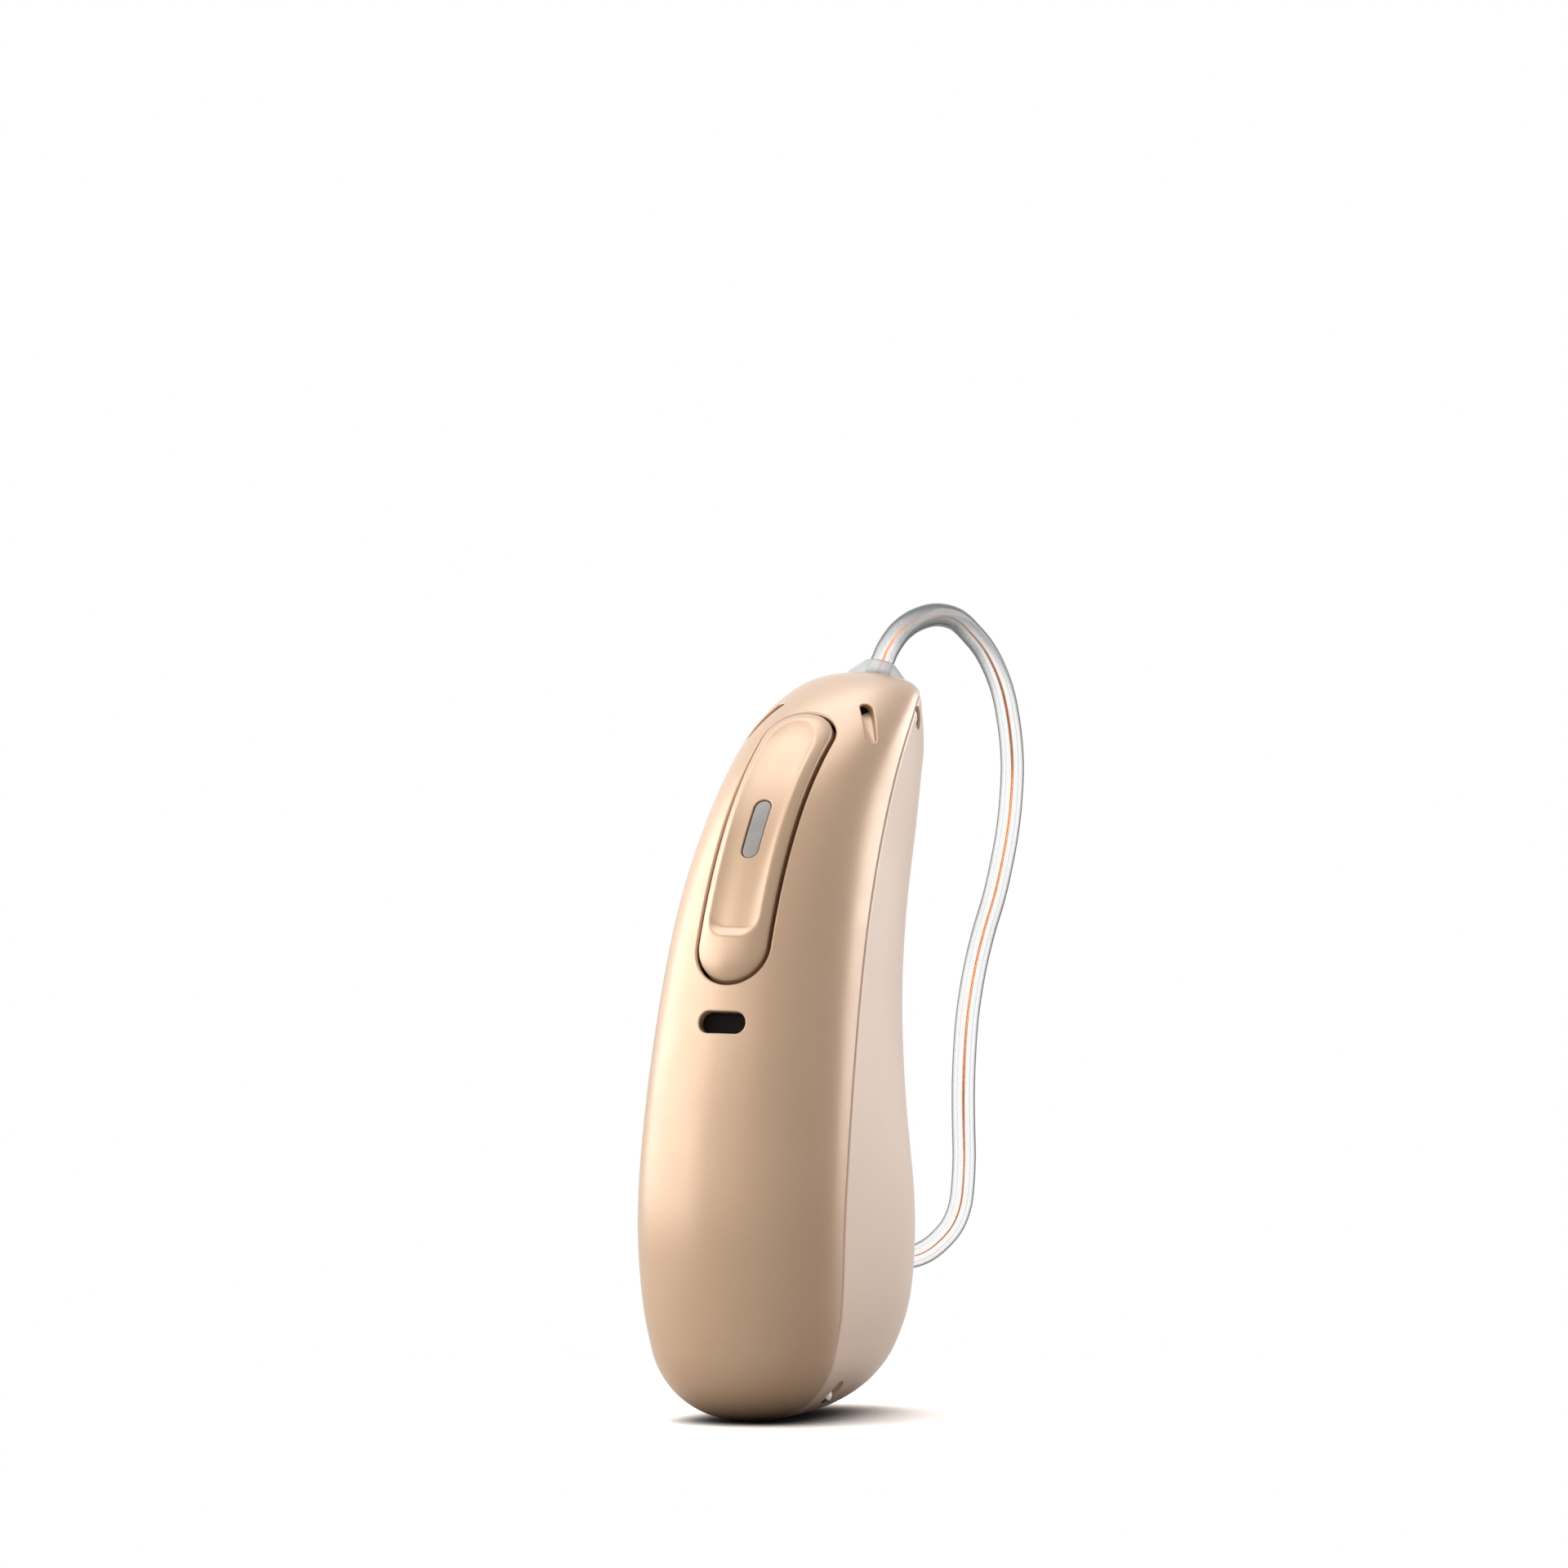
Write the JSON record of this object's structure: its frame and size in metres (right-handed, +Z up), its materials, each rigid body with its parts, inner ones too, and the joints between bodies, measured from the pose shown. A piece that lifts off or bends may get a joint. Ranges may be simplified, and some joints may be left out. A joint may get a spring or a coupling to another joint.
{
  "type": "behind-the-ear hearing aid",
  "caption": "Behind-the-ear hearing aid: slim curved housing with a rocker button, a clear preformed tube that arches over, and a receiver with a soft dome for the ear canal",
  "frame": {"origin": "lowest point of the housing, in its middle plane", "axes": "+Z up along the housing, -Y out of the spine that carries the button, +Y towards the head side and the tube, -X towards the ear canal and the soft dome"},
  "size_m": [0.0189, 0.0303, 0.0329],
  "materials": {
    "beige_lacquer": "satin pearl lacquer on moulded plastic",
    "side_lacquer": "satin pearl lacquer, lighter and pinker",
    "seal_rubber": "matt",
    "window": "grey translucent",
    "steel": "fine satin",
    "receiver_metal": "satin",
    "black_plastic": "matt",
    "board": "solder mask over glass fibre",
    "lamp": "clear over pale phosphor",
    "chip": "matt moulding",
    "copper": "copper, bare or enamelled",
    "screen": "fine woven mesh",
    "foam": "closed foam",
    "ferrite": "dark, dull",
    "clear_plug": "clear, slightly milky",
    "clear_tube": "clear, glossy",
    "gold": "gold plated",
    "soft_clear": "soft, milky",
    "white_plastic": "matt"
  },
  "bodies": {
    "housing": {"spine_cover": "beige_lacquer", "inner_shell": "side_lacquer", "seam_seals": "seal_rubber", "rocker_pins": "steel", "switch_bodies": "black_plastic", "switch_domes": "steel", "switch_board": "board", "status_led": "lamp", "chassis": "black_plastic", "main_board": "board", "sound_processor": "chip", "radio_chip": "chip", "power_chip": "chip", "antenna": "copper", "front_microphone": "steel", "rear_microphone": "steel", "microphone_gaskets": "seal_rubber", "inlet_screens": "screen", "battery_cell": "steel", "battery_tabs": "steel", "battery_pad": "foam", "charging_coil": "copper", "ferrite_sheet": "ferrite", "receiver_pin": "steel", "housing_pin": "steel", "tube_plug": "clear_plug", "plug_contacts": "gold", "plug_socket": "black_plastic", "cable_tube": "clear_tube", "cable_wires": "copper", "receiver_boot": "soft_clear", "receiver_case": "receiver_metal", "receiver_driver": "receiver_metal", "receiver_spout": "receiver_metal", "wax_guard": "white_plastic"},
    "rocker": {"rocker_button": "beige_lacquer", "indicator_window": "window"},
    "ear_tip": {"ear_dome": "soft_clear"}
  },
  "joints": [
    {"name": "rocker_tilt", "type": "hinge", "parent": "housing", "child": "rocker", "pos_m": [0, 0.00216, 0.02363], "axis": [1, 0, 0], "range_deg": [-2, 2], "stiffness_Nm_per_rad": 0.1},
    {"name": "dome_pull", "type": "slide", "parent": "housing", "child": "ear_tip", "axis": [-1, 0, 0], "range_m": [0, 0.0024]}
  ]
}
